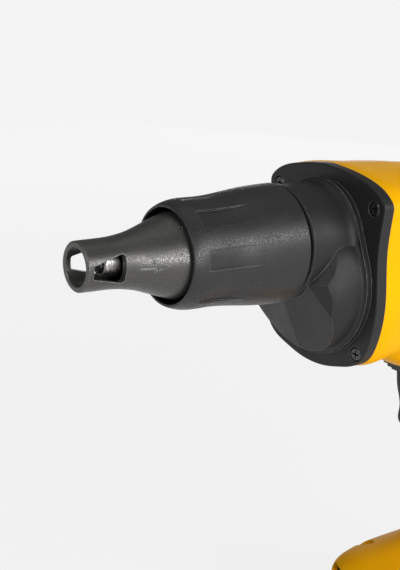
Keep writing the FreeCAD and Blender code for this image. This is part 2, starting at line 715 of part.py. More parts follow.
def drive_gear():
    half_pitch = math.pi / GEAR_TEETH
    blank = gear_blank(GEAR_TEETH, GEAR_FRONT, GEAR_REAR, 0.0, -math.pi / 2 + half_pitch)
    shoulder, tail = PLATE_FRONT + 0.3, PLATE_REAR - 0.9
    hub = turned([(GEAR_REAR - 1.0, 0.0), (GEAR_REAR - 1.0, 6.5), (shoulder, 6.5), (shoulder, GEAR_BORE),
                  (tail, GEAR_BORE), (tail, 0.0)])
    jaws = [jaw(GEAR_JAWS, GEAR_FRONT + 0.5, 60 + 120 * k) for k in range(3)]
    gear = joined([blank, hub] + jaws)
    gear = gear.cut(rod(GEAR_JAWS - 1.0, PLATE_REAR, PILOT_RADIUS + 0.06))
    return gear.cut(tube(GEAR_JAWS - 1.0, GEAR_FRONT + SPRING_SEAT, 8.6, 4.4))


def ball_bearing(d0, width, bore, outer, z):
    middle = (bore + outer) / 2
    ball = 0.29 * (outer - bore)
    centre = d0 + width / 2
    race = Part.makeTorus(middle, ball + 0.03, point(centre, 0, z), FORWARD)
    rings = [tube(d0, d0 + width, outer, middle + 0.55 * ball, z).cut(race)]
    rings.append(tube(d0, d0 + width, middle - 0.55 * ball, bore, z).cut(race))
    count = int(2 * math.pi * middle / (2.5 * ball))
    for k in range(count):
        angle = 2 * math.pi * k / count
        place = point(centre, middle * math.cos(angle), z + middle * math.sin(angle))
        rings.append(Part.makeSphere(ball, place))
    return group(rings)


def gear_bearing():
    return ball_bearing(PLATE_FRONT + 0.4, 5.0, GEAR_BORE, GEAR_BEARING, 0.0)


def front_bearing():
    width = MOTOR_BEARING_WIDTH
    return ball_bearing(PLATE_REAR - width, width, SHAFT_RADIUS, MOTOR_BEARING, MOTOR_Z)


def rear_bearing():
    return ball_bearing(REAR_BEARING, MOTOR_BEARING_WIDTH, SHAFT_RADIUS, MOTOR_BEARING, MOTOR_Z)


def bearing_plate():
    upper, lower = 17.2, 19.0
    ahead, behind = PLATE_FRONT - 1.0, PLATE_REAR + 1.0
    plate = joined([rod(PLATE_FRONT, PLATE_REAR, upper), rod(PLATE_FRONT, PLATE_REAR, lower, MOTOR_Z),
                    block(PLATE_FRONT, PLATE_REAR, -upper, upper, MOTOR_Z, 0.0)])
    plate = plate.cut(rod(ahead, PLATE_FRONT + 5.4, GEAR_BEARING))
    plate = plate.cut(rod(PLATE_FRONT, behind, GEAR_BEARING - 2.0))
    plate = plate.cut(rod(ahead, PLATE_REAR, MOTOR_BEARING - 1.7, MOTOR_Z))
    return plate.cut(rod(PLATE_REAR - MOTOR_BEARING_WIDTH, behind, MOTOR_BEARING, MOTOR_Z))


# Motor

def motor_shaft():
    pinion = gear_blank(PINION_TEETH, GEAR_FRONT - 1.2, GEAR_REAR + 2.0, MOTOR_Z, math.pi / 2)
    return joined([pinion, rod(GEAR_REAR + 1.0, REAR_BEARING + MOTOR_BEARING_WIDTH, SHAFT_RADIUS, MOTOR_Z)])


def rotor_core():
    return tube(STATOR_FRONT, STATOR_REAR, ROTOR_RADIUS - MAGNET_THICK, SHAFT_RADIUS, MOTOR_Z)


def rotor_magnets():
    pieces = []
    for k in range(4):
        ring = tube(STATOR_FRONT + 0.5, STATOR_REAR - 0.5, ROTOR_RADIUS, ROTOR_RADIUS - MAGNET_THICK, MOTOR_Z)
        wedge = Part.makeCylinder(30.0, STATOR_LENGTH, point(STATOR_REAR, 0, MOTOR_Z), FORWARD, 80)
        pieces.append(ring.common(turn_about_motor(wedge, 90 * k)))
    return group(pieces)


def stator_core():
    core = tube(STATOR_FRONT, STATOR_REAR, STATOR_RADIUS, STATOR_RADIUS - YOKE, MOTOR_Z)
    inner = ROTOR_RADIUS + AIR_GAP
    shoe_half, shoe_thick = 5.2, 1.4
    teeth = []
    for k in range(SLOT_COUNT):
        arm = block(STATOR_FRONT, STATOR_REAR, -TOOTH_HALF, TOOTH_HALF, MOTOR_Z + inner - 1.0,
                    MOTOR_Z + STATOR_RADIUS - YOKE + 1.0)
        shoe = block(STATOR_FRONT, STATOR_REAR, -shoe_half, shoe_half, MOTOR_Z + inner - 2.0,
                     MOTOR_Z + inner + shoe_thick)
        teeth.append(turn_about_motor(arm.fuse(shoe), 360 * k / SLOT_COUNT))
    core = joined([core] + teeth)
    return solid_of(core.cut(rod(STATOR_FRONT - 1.0, STATOR_REAR + 1.0, inner, MOTOR_Z)))


def windings():
    inner = MOTOR_Z + ROTOR_RADIUS + AIR_GAP + 1.8
    outer = MOTOR_Z + STATOR_RADIUS - YOKE - 0.6
    gap, build, over = 0.2, 2.2, 4.6
    side = TOOTH_HALF + gap
    reach = side + build
    coils = []
    for k in range(SLOT_COUNT):
        loop = block(STATOR_FRONT - over, STATOR_REAR + over, -reach, reach, inner, outer)
        ends = [edge for edge in loop.Edges if abs(edge.tangentAt(edge.FirstParameter).z) > 0.9]
        loop = loop.makeFillet(2.2, ends)
        loop = loop.cut(block(STATOR_FRONT - gap, STATOR_REAR + gap, -side, side, inner - 1.0, outer + 1.0))
        coils.append(turn_about_motor(loop, 360 * k / SLOT_COUNT))
    return group(coils)


def end_ring(d0, d1):
    return tube(d0, d1, STATOR_RADIUS - 0.4, STATOR_RADIUS - YOKE + 0.2, MOTOR_Z)


def front_insulator():
    return end_ring(SENSOR_REAR, STATOR_FRONT)


def rear_insulator():
    return end_ring(STATOR_REAR, STATOR_REAR + 7.0)


def sensor_board():
    return tube(SENSOR_REAR - BOARD_THICK, SENSOR_REAR, STATOR_RADIUS - 0.6, 7.0, MOTOR_Z)


def fan():
    hub = tube(FAN_FRONT, FAN_REAR, 6.5, SHAFT_RADIUS, MOTOR_Z)
    disc = tube(FAN_FRONT, FAN_FRONT + 1.6, FAN_RADIUS, 5.5, MOTOR_Z)
    blades = []
    for k in range(FAN_BLADES):
        blade = block(FAN_FRONT + 1.0, FAN_REAR - 0.5, 2.4, 3.8, MOTOR_Z + 5.0, MOTOR_Z + FAN_RADIUS - 1.0)
        blades.append(turn_about_motor(blade, 360 * k / FAN_BLADES))
    return joined([hub, disc] + blades)


# Housing shape: a barrel over the motor, a handle and a foot, made solid first

BARREL = [
    # station, outline growth, share of the oval, half width, top, bottom
    (FLANGE_REAR, 0.0, 0.0, 32.0, 29.0, -51.0),
    (FLANGE_REAR + 12.0, -0.3, 0.0, 32.0, 29.0, -51.0),
    (FLANGE_REAR + 26.0, -0.9, 0.05, 32.0, 29.0, -51.0),
    (FLANGE_REAR + 38.0, -1.8, 0.2, 32.0, 28.8, -51.0),
    (FLANGE_REAR + 49.0, -3.2, 0.5, 31.8, 28.4, -50.5),
    (FLANGE_REAR + 66.0, -3.4, 0.85, 31.6, 28.2, -50.0),
    (HOUSING_REAR - 34.0, -3.4, 1.0, 31.0, 28.0, -48.5),
    (HOUSING_REAR - 17.0, -3.4, 1.0, 29.6, 27.0, -46.0),
    (HOUSING_REAR - 5.0, -3.4, 1.0, 25.8, 24.0, -42.0),
    (HOUSING_REAR, -3.4, 1.0, 20.5, 19.0, -37.0),
]
BARREL_POWER = 2.8

HANDLE = [
    # level, front station, rear station, half width
    (-38.0, 152.0, 239.0, HANDLE_HALF + 4.0),
    (-50.0, 148.5, 240.0, HANDLE_HALF + 6.0),
    (-57.0, 153.5, 240.5, HANDLE_HALF + 5.5),
    (-63.0, 165.0, 240.0, HANDLE_HALF + 4.2),
    (-70.0, 178.0, 239.0, HANDLE_HALF + 2.4),
    (-78.0, 186.5, 238.0, HANDLE_HALF + 1.0),
    (-92.0, 190.5, 238.0, HANDLE_HALF),
    (-108.0, 193.0, 239.6, HANDLE_HALF),
    (-125.0, 195.8, 242.4, HANDLE_HALF),
    (-142.0, 198.6, 246.0, HANDLE_HALF + 0.5),
    (-157.0, 200.8, 249.2, HANDLE_HALF + 1.0),
    (HANDLE_BOTTOM, 202.0, 251.5, HANDLE_HALF + 1.5),
]
HANDLE_POWER = 2.4

FOOT = [
    # level, front station, rear station, half width, squareness of the plan
    (FOOT_BOTTOM + 29.0, 203.5, 247.5, HANDLE_HALF - 1.0, 2.4),
    (FOOT_BOTTOM + 22.0, 194.0, 255.5, HANDLE_HALF + 5.0, 2.8),
    (FOOT_BOTTOM + 16.5, FOOT_FRONT + 9.0, FOOT_REAR - 5.0, FOOT_HALF - 6.0, 3.4),
    (FOOT_BOTTOM + 12.0, FOOT_FRONT + 2.0, FOOT_REAR - 1.0, FOOT_HALF - 1.2, 4.6),
    (FOOT_BOTTOM, FOOT_FRONT, FOOT_REAR, FOOT_HALF, 6.0),
]


def oval_radius(angle, half, top, bottom):
    height = top if math.sin(angle) > 0 else bottom
    sides = abs(math.cos(angle) / half) ** BARREL_POWER + abs(math.sin(angle) / height) ** BARREL_POWER
    return sides ** (-1.0 / BARREL_POWER)


def barrel_section(station, growth, share, half, top, bottom, inset):
    ring = []
    for y, z in flange_points(growth):
        angle, radius = math.atan2(z - OUTLINE_MIDDLE, y), math.hypot(y, z - OUTLINE_MIDDLE)
        oval = oval_radius(angle, half, top - OUTLINE_MIDDLE, OUTLINE_MIDDLE - bottom)
        size = radius + share * (oval - radius) - inset
        ring.append(point(station, size * math.cos(angle), OUTLINE_MIDDLE + size * math.sin(angle)))
    return smooth_loop(ring, flange_marks())


def barrel(inset):
    loops = []
    last = len(BARREL) - 1
    for k, (station, growth, share, half, top, bottom) in enumerate(BARREL):
        if inset and k == last:
            continue
        shift = 0.0
        if inset and k == 0:
            shift = -0.5
        if inset and k == last - 1:
            shift = 1.5
        loops.append(barrel_section(station + shift, growth, share, half, top, bottom, inset))
    return Part.makeLoft(loops, True, False)


def plan_section(level, front, rear, half, power, inset):
    ring = []
    middle, reach = (front + rear) / 2, (rear - front) / 2
    steps = 32
    for k in range(steps):
        angle = 2 * math.pi * k / steps
        across, along = math.sin(angle), math.cos(angle)
        y = math.copysign(abs(across) ** (2 / power), across) * (half - inset)
        d = middle + math.copysign(abs(along) ** (2 / power), along) * (reach - inset)
        ring.append(point(d, y, level))
    return smooth_loop(ring, [float(k) for k in range(steps + 1)])


def handle(inset):
    loops = [plan_section(z, front, rear, half, HANDLE_POWER, inset) for z, front, rear, half in HANDLE]
    return Part.makeLoft(loops, True, False)


def foot():
    loops = [plan_section(z, front, rear, half, power, 0.0) for z, front, rear, half, power in FOOT]
    return Part.makeLoft(loops, True, False)


# Housing halves: one hollow half is made and mirrored, then each side gets its own holes

FAR_FRONT = FLANGE_FRONT - 20.0
FAR_REAR = PACK_REAR + 20.0
FAR_SIDE = 2 * PACK_HALF
FAR_DOWN = BASE - 20.0
FAR_UP = 60.0


def grip_half():
    skin = handle(0.0).cut(handle(GRIP_SKIN))
    return solid_of(skin.common(block(SWITCH_FRONT + 2.0, FAR_REAR, 0.0, FAR_SIDE, FOOT_BOTTOM + 28.0, -60.0)))


def rib_tools():
    # Bodies that stay solid inside the shell: stator webs, bearing web, module shelf, switch floor and stop
    tools = []
    for d in (STATOR_FRONT + 2.0, STATOR_REAR - 6.0):
        web = block(d, d + 4.0, -1.0, FAR_SIDE, -58.0, 8.0)
        tools.append(web.cut(rod(d - 1.0, d + 5.0, STATOR_RADIUS, MOTOR_Z)))
    web = block(REAR_BEARING - 1.0, REAR_BEARING + 7.0, -1.0, FAR_SIDE, -52.0, 12.0)
    tools.append(web.cut(rod(REAR_BEARING - 2.0, REAR_BEARING + MOTOR_BEARING_WIDTH, MOTOR_BEARING, MOTOR_Z)))
    shelf = MODULE_BOTTOM - 2.0
    tools.append(block(MODULE_FRONT + 6.0, MODULE_REAR - 6.0, 11.0, FAR_SIDE, shelf, MODULE_BOTTOM))
    behind = SWITCH_REAR + 12.0
    tools.append(block(SWITCH_FRONT + 1.0, behind, 4.0, FAR_SIDE, SWITCH_BOTTOM - 2.5, SWITCH_BOTTOM))
    tools.append(block(SWITCH_REAR, behind, 2.0, FAR_SIDE, SWITCH_BOTTOM - 1.0, SWITCH_TOP))
    boss_rear, boss_radius = FLANGE_REAR + CASE_SCREW_GRIP + 2.0, CASE_SCREW_RADIUS + 2.4
    for y, z in CASE_SCREWS:
        tools.append(rod(FLANGE_REAR - 1.0, boss_rear, boss_radius, z, y))
    for d, z, seat in SHELL_SCREWS:
        tools.append(cross_rod(d, z, -1.0, 45.0, SHELL_SCREW_HEAD + 1.8))
    return tools


def half_shell():
    pad = cross_rod(HOOK_D, HOOK_Z, FOOT_HALF - 15.0, HOOK_SEAT, HOOK_PAD)
    left = block(FAR_FRONT, FAR_REAR, 0.0, FAR_SIDE, FAR_DOWN, FAR_UP)
    outside = joined([barrel(0.0), handle(0.0), foot(), pad]).common(left)
    past_middle = block(FAR_FRONT, FAR_REAR, -0.5, FAR_SIDE, FAR_DOWN, FAR_UP)
    cavity = joined([barrel(WALL), handle(WALL)]).common(past_middle)
    shell = outside.cut(cavity.cut(rib_tools()))
    return shell.cut(grip_half())


def control_cuts():
    ahead = LEVER_FRONT - 14.0
    wide = TRIGGER_HALF + SLIDE
    cuts = [block(ahead, SWITCH_FRONT, -wide, wide, TRIGGER_BOTTOM - 0.8, TRIGGER_TOP + 2.8)]
    cuts.append(block(ahead, SWITCH_FRONT, -LEVER_ROOM, LEVER_ROOM, LEVER_BOTTOM - SLIDE, LEVER_TOP + 0.5))
    return cuts


def foot_cuts():
    ahead = FOOT_FRONT - 10.0
    rail, neck = RAIL_HALF + SLIDE, NECK_HALF + SLIDE
    cuts = [block(ahead, CHANNEL_REAR, -rail, rail, RAIL_LEDGE - SLIDE, CHANNEL_TOP)]
    cuts.append(block(ahead, CHANNEL_REAR, -neck, neck, PACK_TOP - 5.0, RAIL_LEDGE))
    cuts.append(block(ahead, LATCH_ARM_REAR + 0.4, -8.2, 8.2, CHANNEL_TOP - 1.0, CHANNEL_TOP + 1.6))
    wire_top = HANDLE_BOTTOM + 2.0
    cuts.append(block(BLOCK_FRONT - 9.0, BLOCK_FRONT + 3.0, -5.0, 5.0, CHANNEL_TOP - 1.0, wire_top))
    cuts.append(cross_rod(HOOK_D, HOOK_Z, HOOK_HOLE, HOOK_SEAT + 2.0, HOOK_THREAD))
    return cuts


def vent_cuts():
    cuts = []
    inner, half = 20.0, 1.1
    for k in range(5):
        z = MOTOR_Z - 14.0 + 7.0 * k
        cuts.append(block(FAN_FRONT - 1.0, FAN_REAR + 1.0, inner, FAR_SIDE, z - half, z + half))
        cuts.append(block(HOUSING_REAR - 19.0, HOUSING_REAR - 9.0, inner, FAR_SIDE, z - half, z + half))
    return cuts


def case_screw_holes():
    return [rod(FLANGE_REAR - 1.0, FLANGE_REAR + CASE_SCREW_GRIP + 0.5, CASE_SCREW_RADIUS, z, y)
            for y, z in CASE_SCREWS]


HALF = half_shell().cut(control_cuts() + foot_cuts() + vent_cuts() + case_screw_holes())


def housing_left():
    cuts = [cross_rod(d, z, -1.0, SHELL_SCREW_REACH, SHELL_SCREW_RADIUS) for d, z, seat in SHELL_SCREWS]
    cuts.append(cross_rod(LOCK_D, LOCK_Z, 0.0, FAR_SIDE, LOCK_RADIUS + RUN))
    return solid_of(HALF.cut(cuts))


def housing_right():
    cuts = []
    for d, z, seat in SHELL_SCREWS:
        cuts.append(cross_rod(d, z, -FAR_SIDE, -seat, SHELL_SCREW_HEAD + SLIDE))
        cuts.append(cross_rod(d, z, -seat, 1.0, SHELL_SCREW_RADIUS))
    return solid_of(mirrored(HALF).cut(cuts))


def grip_left():
    return grip_half()


def grip_right():
    holes = [cross_rod(d, z, -FAR_SIDE, 0.0, SHELL_SCREW_HEAD + SLIDE) for d, z, seat in SHELL_SCREWS]
    return solid_of(mirrored(grip_half()).cut(holes))


def side_recess(d, z, y0, y1, reach):
    half = 0.4
    return joined([block(d - reach, d + reach, y0, y1, z - half, z + half),
                   block(d - half, d + half, y0, y1, z - reach, z + reach)])


def shell_screw(d, z, seat):
    top = -seat - 2.2
    head = cross_rod(d, z, top, -seat, SHELL_SCREW_HEAD)
    crown = [edge for edge in head.Edges if abs(edge.BoundBox.YMax - top) < 0.01]
    head = head.makeFillet(0.8, crown)
    screw = joined([head, cross_rod(d, z, -seat, SHELL_SCREW_REACH - 0.5, SHELL_SCREW_RADIUS)])
    return screw.cut(side_recess(d, z, top - 1.0, top + 1.4, 1.6))


def housing_screws():
    return group([shell_screw(d, z, seat) for d, z, seat in SHELL_SCREWS])


# Controls in the handle

# Front face of the trigger: distance behind its foremost point, and level
TRIGGER_FACE = [
    (0.0, TRIGGER_TOP), (0.4, -76.0), (1.4, -81.0), (3.4, -87.0), (4.2, -92.0), (3.8, -96.5), (4.8, -99.2),
    (7.8, TRIGGER_BOTTOM),
]
# Stepped ribs of the reversing lever: distance behind its front, and drop below its top
LEVER_RIBS = [(0.0, 0.0), (0.6, 2.6), (2.8, 2.9), (3.3, 4.9), (5.6, 5.2), (6.2, 6.9), (8.6, 7.2), (9.4, 8.3)]


def trigger():
    front = [(TRIGGER_FRONT + back, z) for back, z in TRIGGER_FACE]
    curve = Part.BSplineCurve()
    curve.interpolate([point(d, -TRIGGER_HALF, z) for d, z in front])
    corners = [front[-1], (TRIGGER_BACK, TRIGGER_BOTTOM), (TRIGGER_BACK, TRIGGER_TOP), front[0]]
    straight = Part.makePolygon([point(d, -TRIGGER_HALF, z) for d, z in corners])
    face = Part.Face(Part.Wire([curve.toShape()] + straight.Edges))
    body = face.extrude(FreeCAD.Vector(0, 2 * TRIGGER_HALF, 0))
    edges = []
    for edge in body.Edges:
        box = edge.BoundBox
        if box.YLength < 0.01 and NOSE_REACH - box.XMin < TRIGGER_BACK - 5.0 and box.ZLength > 10.0:
            edges.append(edge)
    body = body.makeFillet(2.0, edges)
    return joined([body, rod(TRIGGER_BACK - 1.0, SWITCH_FRONT + 4.0, STEM_RADIUS, STEM_Z)])


def trigger_spring():
    return coil_along(4.4, 0.8, SWITCH_FRONT - TRIGGER_BACK, 5.0, point(TRIGGER_BACK, 0, STEM_Z), BACKWARD)


def switch_module():
    body = block(SWITCH_FRONT, SWITCH_REAR, -SWITCH_HALF, SWITCH_HALF, SWITCH_BOTTOM, SWITCH_TOP)
    upright = [edge for edge in body.Edges if edge.BoundBox.YLength < 0.01 and edge.BoundBox.XLength < 0.01]
    body = body.makeFillet(1.5, upright)
    body = body.fuse(post(PIVOT, 0.0, SWITCH_TOP - 1.0, LEVER_TOP - 1.3, PIVOT_RADIUS))
    well = SWITCH_FRONT + 4.0 + TRIGGER_TRAVEL + 1.0
    return body.cut(rod(SWITCH_FRONT - 1.0, well, STEM_RADIUS + SLIDE, STEM_Z))


def reversing_lever():
    ribs = [(LEVER_FRONT + back, LEVER_TOP - drop) for back, drop in LEVER_RIBS]
    head_rear = LEVER_FRONT + 20.0
    head = side_profile(ribs + [(head_rear, LEVER_BOTTOM), (head_rear, LEVER_TOP)], -LEVER_HALF, LEVER_HALF)
    arm_top = LEVER_TOP - 2.8
    arm = block(head_rear - 1.0, PIVOT, -LEVER_HALF / 2, LEVER_HALF / 2, LEVER_BOTTOM, arm_top)
    eye = post(PIVOT, 0.0, LEVER_BOTTOM, arm_top, PIVOT_RADIUS + 2.6)
    return joined([head, arm, eye]).cut(post(PIVOT, 0.0, LEVER_BOTTOM - 1.0, LEVER_TOP, PIVOT_RADIUS + 0.05))


def lock_button():
    outer = HANDLE_HALF + 2.4
    shank = cross_rod(LOCK_D, LOCK_Z, outer - 6.0, outer, LOCK_RADIUS)
    crown = [edge for edge in shank.Edges if abs(edge.BoundBox.YMin - outer) < 0.01]
    return shank.makeFillet(1.0, crown)


def control_module():
    wall, top = 2.0, MODULE_BOTTOM + 9.5
    tray = block(MODULE_FRONT, MODULE_REAR, -MODULE_HALF, MODULE_HALF, MODULE_BOTTOM, top)
    inner, floor = MODULE_HALF - wall, MODULE_BOTTOM + wall
    return tray.cut(block(MODULE_FRONT + wall, MODULE_REAR - wall, -inner, inner, floor, top + 1.0))


def control_board():
    edge, wall = 2.4, 2.0
    inner = MODULE_HALF - edge
    floor = MODULE_BOTTOM + wall
    return block(MODULE_FRONT + edge, MODULE_REAR - edge, -inner, inner, floor, floor + BOARD_THICK)


def motor_leads():
    start = SENSOR_REAR - BOARD_THICK
    room = block(start - 8.0, MODULE_FRONT, -MODULE_HALF, MODULE_HALF, 0.0, MODULE_BOTTOM + 9.0)
    room = room.cut(block(start, STATOR_FRONT, -MODULE_HALF, MODULE_HALF, -1.0, 8.0))
    leads = []
    for y in (-5.0, 0.0, 5.0):
        path = [point(start + 1.0, y, 4.0), point(start - 2.4, y, 5.2), point(start - 1.0, y, 10.5),
                point(start + 6.0, y, 14.5), point(MODULE_FRONT + 1.0, y, 16.5)]
        leads.append(solid_of(lead(path, LEAD_RADIUS).common(room)))
    return group(leads)


def battery_leads():
    room = block(SWITCH_FRONT, FOOT_REAR, -8.0, 8.0, CHANNEL_TOP, SWITCH_BOTTOM)
    leads = []
    for y in (-2.0, 2.0):
        path = [point(BLOCK_FRONT + 1.2, y, CHANNEL_TOP - 1.0), point(BLOCK_FRONT + 0.4, y, CHANNEL_TOP + 2.8)]
        path += [point(BLOCK_FRONT - 4.0, y, HANDLE_BOTTOM - 2.5)]
        path += [point(BLOCK_FRONT - 11.5, y, HANDLE_BOTTOM + 6.0)]
        path += [point(SWITCH_REAR - 2.0, y, HANDLE_BOTTOM + 14.0)]
        path += [point(SWITCH_FRONT + 13.0, y, HANDLE_BOTTOM + 42.0)]
        path += [point(SWITCH_FRONT + 12.0, y, SWITCH_BOTTOM + 1.0)]
        leads.append(solid_of(lead(path, LEAD_RADIUS).common(room)))
    return group(leads)


# Foot: terminal block, blades and belt hook

def terminal_block():
    return block(BLOCK_FRONT, CHANNEL_REAR, -20.0, 20.0, RAIL_LEDGE - 2.0, CHANNEL_TOP)


def terminal_blades():
    return group([block(BLOCK_FRONT - 14.0, BLOCK_FRONT, y - 0.4, y + 0.4, RAIL_LEDGE - 1.0, RAIL_TOP - 1.5)
                  for y in BLADE_ROWS])


def belt_hook():
    half_width = 8.0
    rise = 44.0
    inner, outer = HOOK_SEAT, HOOK_SEAT + HOOK_REACH
    foot_end, bend = HOOK_Z - HOOK_PAD, HOOK_Z + HOOK_PAD
    low, high = bend + 8.0, bend + rise
    path = [(inner, foot_end), (inner + HOOK_THICK, foot_end), (inner + HOOK_THICK, bend), (outer, low),
            (outer, high), (outer - 4.0, high + 8.0), (outer - 6.0, high + 7.0),
            (outer - HOOK_THICK, high - 1.0), (outer - HOOK_THICK, low + 1.0), (inner, bend + 1.0)]
    strip = front_profile(path, HOOK_D - half_width, HOOK_D + half_width)
    return strip.cut(cross_rod(HOOK_D, HOOK_Z, inner - 5.0, inner + 10.0, HOOK_THREAD))


def hook_screw():
    side = HOOK_SEAT + HOOK_THICK
    top = side + 2.4
    head = cross_rod(HOOK_D, HOOK_Z, side, top, 3.8)
    crown = [edge for edge in head.Edges if abs(edge.BoundBox.YMin - top) < 0.01]
    head = head.makeFillet(0.9, crown)
    screw = joined([head, cross_rod(HOOK_D, HOOK_Z, HOOK_HOLE + 0.5, side, HOOK_THREAD)])
    return screw.cut(side_recess(HOOK_D, HOOK_Z, top - 1.4, top + 1.0, 2.0))


# Battery pack

def pack_hollow(z0, z1):
    half, corner = PACK_HALF - PACK_WALL, PACK_CORNER - PACK_WALL
    return rounded_slab(PACK_FRONT + PACK_WALL, PACK_REAR - PACK_WALL, half, z0, z1, corner)


def pack_tray():
    tray = rounded_slab(PACK_FRONT, PACK_REAR, PACK_HALF, BASE, PACK_SPLIT, PACK_CORNER)
    rim = [edge for edge in tray.Edges if edge.BoundBox.ZMax < 0.01]
    tray = tray.makeFillet(PACK_WALL, rim)
    hollow = pack_hollow(BASE + PACK_FLOOR, PACK_SPLIT + 1.0)
    tray = tray.cut(hollow)
    ledge = block(PACK_FRONT + 1.0, LATCH_D + 4.0, -6.0, 6.0, LATCH_LEDGE - 2.0, LATCH_LEDGE)
    screw_posts = [post(d, y, BASE + 1.0, PACK_SPLIT, PACK_SCREW_HEAD + 0.8) for d, y in PACK_SCREWS]
    tray = joined([tray, ledge] + screw_posts)
    for d, y in PACK_SCREWS:
        tray = tray.cut(post(d, y, BASE - 1.0, BASE + 4.0, PACK_SCREW_HEAD + 0.1))
        tray = tray.cut(post(d, y, BASE, PACK_SPLIT + 1.0, PACK_SCREW_RADIUS))
    return solid_of(tray)


def latch_room():
    low = LATCH_REST - LATCH_TRAVEL - 0.4
    room = [block(PACK_FRONT - 1.0, LATCH_PAD_REAR + 0.4, -14.4, 14.4, low, PACK_TOP + 1.0)]
    room.append(block(LATCH_PAD_REAR - 0.2, LATCH_ARM_REAR + 0.6, -8.4, 8.4, low, LATCH_REST + 6.6))
    room.append(block(LATCH_ARM_REAR - 3.9, LATCH_ARM_REAR + 0.3, -8.2, 8.2, LATCH_REST + 5.0, RAIL_TOP + 1.0))
    room.append(post(LATCH_D, 0.0, PACK_SPLIT - 1.0, LATCH_REST, 3.2))
    return room


def pack_top():
    top = rounded_slab(PACK_FRONT, PACK_REAR, PACK_HALF, PACK_SPLIT, PACK_TOP, PACK_CORNER)
    rim = [edge for edge in top.Edges if edge.BoundBox.ZMin > point(0, 0, PACK_TOP).z - 0.01]
    top = top.makeFillet(2.0, rim)
    neck = block(RAIL_FRONT, RAIL_REAR, -NECK_HALF, NECK_HALF, PACK_TOP - 1.0, RAIL_TOP)
    head = block(RAIL_FRONT, RAIL_REAR, -RAIL_HALF, RAIL_HALF, RAIL_LEDGE, RAIL_TOP)
    top = joined([top, neck, head])
    hollow = pack_hollow(PACK_SPLIT - 1.0, PACK_TOP - PACK_FLOOR)
    posts = [post(d, y, PACK_SPLIT, PACK_TOP - 1.0, PACK_SCREW_HEAD + 0.8) for d, y in PACK_SCREWS]
    top = joined([top.cut(hollow)] + posts)
    top = top.cut(block(RAIL_FRONT + 8.0, RAIL_REAR - 2.0, -20.0, 20.0, PACK_TOP - 5.0, RAIL_TOP - 2.0))
    for y in BLADE_ROWS:
        slot = block(BLOCK_FRONT - 16.0, RAIL_REAR + 1.0, y - 1.5, y + 1.5, PACK_TOP - 4.0, RAIL_TOP + 1.0)
        top = top.cut(slot)
    top = top.cut(latch_room())
    for d, y in PACK_SCREWS:
        top = top.cut(post(d, y, PACK_SPLIT - 1.0, PACK_SPLIT + 9.0, PACK_SCREW_RADIUS))
    return solid_of(top)


def cell_station(k):
    return CELL_MIDDLE + CELL_PITCH * k


def pack_cells():
    return group([cross_rod(cell_station(k), CELL_Z, -CELL_HALF, CELL_HALF, CELL_RADIUS) for k in range(-2, 3)])


def cell_holders():
    frames = []
    for y0, y1 in ((24.0, 30.0), (-30.0, -24.0)):
        frame = block(cell_station(-2.5), cell_station(2.5), y0, y1, BASE + PACK_FLOOR, HOLDER_TOP)
        for k in range(-2, 3):
            frame = frame.cut(cross_rod(cell_station(k), CELL_Z, y0 - 1.0, y1 + 1.0, CELL_RADIUS))
        frames.append(frame)
    return group(frames)


def cell_links():
    reach = 4.0
    links = []
    for side, first in ((1, -2), (1, 0), (-1, -1), (-1, 1)):
        y0 = CELL_HALF if side > 0 else -CELL_HALF - LINK_THICK
        links.append(block(cell_station(first) - reach, cell_station(first + 1) + reach, y0, y0 + LINK_THICK,
                           CELL_Z - reach, CELL_Z + reach))
    return group(links)


def pack_board():
    return block(RAIL_FRONT + 10.0, RAIL_REAR + 8.0, -27.0, 27.0, HOLDER_TOP, HOLDER_TOP + BOARD_THICK)


def pack_contacts():
    clips = []
    thick, gap = 0.5, 0.45
    foot_level = HOLDER_TOP + BOARD_THICK
    for y in BLADE_ROWS:
        for low in (y + gap, y - gap - thick):
            clips.append(block(BLOCK_FRONT - 13.0, BLOCK_FRONT - 4.0, low, low + thick,
                               foot_level, RAIL_TOP - 1.2))
    return group(clips)


def latch_button():
    pad = block(PACK_FRONT + 0.6, LATCH_PAD_REAR, -14.0, 14.0, LATCH_REST, PACK_TOP - 1.0)
    arm = block(LATCH_PAD_REAR - 0.2, LATCH_ARM_REAR, -8.0, 8.0, LATCH_REST, LATCH_REST + 6.0)
    catch = block(LATCH_ARM_REAR - 3.5, LATCH_ARM_REAR - 0.1, -7.8, 7.8, LATCH_REST + 1.0, CHANNEL_TOP + 1.2)
    return joined([pad, arm, catch])


def latch_spring():
    return coil_along(2.2, 0.6, LATCH_REST - LATCH_LEDGE, 5.0, point(LATCH_D, 0, LATCH_LEDGE), UP)


def pack_screw(d, y):
    head = post(d, y, BASE + 1.4, BASE + 4.0, PACK_SCREW_HEAD)
    screw = joined([head, post(d, y, BASE + 3.0, PACK_SPLIT + 8.0, PACK_SCREW_RADIUS)])
    return screw.cut(block(d - 1.6, d + 1.6, y - 0.4, y + 0.4, BASE, BASE + 2.6))


def pack_screws():
    return group([pack_screw(d, y) for d, y in PACK_SCREWS])


MAKERS = [
    nose_cone, depth_collar, adjuster_sleeve, nose_ring, collar_ring, gear_case, case_screws, screw_bit,
    bit_holder, bit_magnet, spindle, thrust_washer, spindle_bush, spindle_seal, clutch_spring,
    drive_gear, gear_bearing, bearing_plate, front_bearing, rear_bearing, motor_shaft, rotor_core,
    rotor_magnets, stator_core, windings, front_insulator, rear_insulator, sensor_board, fan,
    control_module, control_board, motor_leads, battery_leads, housing_left, housing_right,
    housing_screws, grip_left, grip_right, trigger, trigger_spring, switch_module, reversing_lever,
    lock_button, terminal_block, terminal_blades, belt_hook, hook_screw, pack_top, pack_tray,
    pack_cells, cell_holders, cell_links, pack_board, pack_contacts, latch_button, latch_spring,
    pack_screws,
]

for maker in MAKERS:
    shape = maker()
    shape.exportStep("parts/" + maker.__name__ + ".step")
